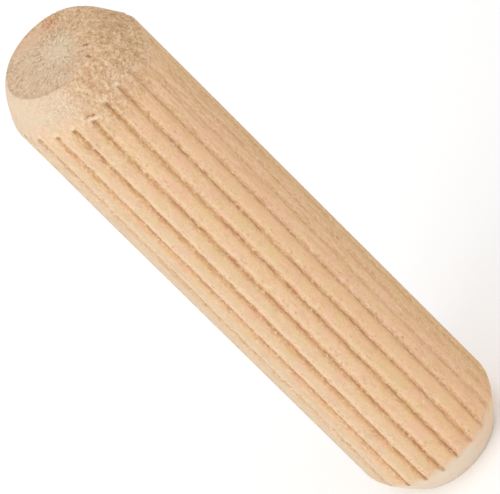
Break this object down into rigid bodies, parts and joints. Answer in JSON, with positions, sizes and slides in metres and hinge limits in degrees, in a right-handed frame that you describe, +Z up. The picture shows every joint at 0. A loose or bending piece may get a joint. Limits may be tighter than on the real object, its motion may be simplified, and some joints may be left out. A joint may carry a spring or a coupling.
{
  "type": "fluted dowel pin",
  "caption": "Straight wooden dowel pin with pressed flutes along its shank and a swelled chamfer at each end, for gluing into matching blind holes.",
  "frame": {"origin": "centre of the lower end face, on the surface that the pin stands on", "axes": "+Z up along the pin; +X through the middle of a flute"},
  "size_m": [0.012, 0.012, 0.05],
  "materials": {
    "wood": "bare, dry, lightly fibrous hardwood"
  },
  "bodies": {
    "root": {"dowel_pin": "wood"}
  },
  "joints": []
}
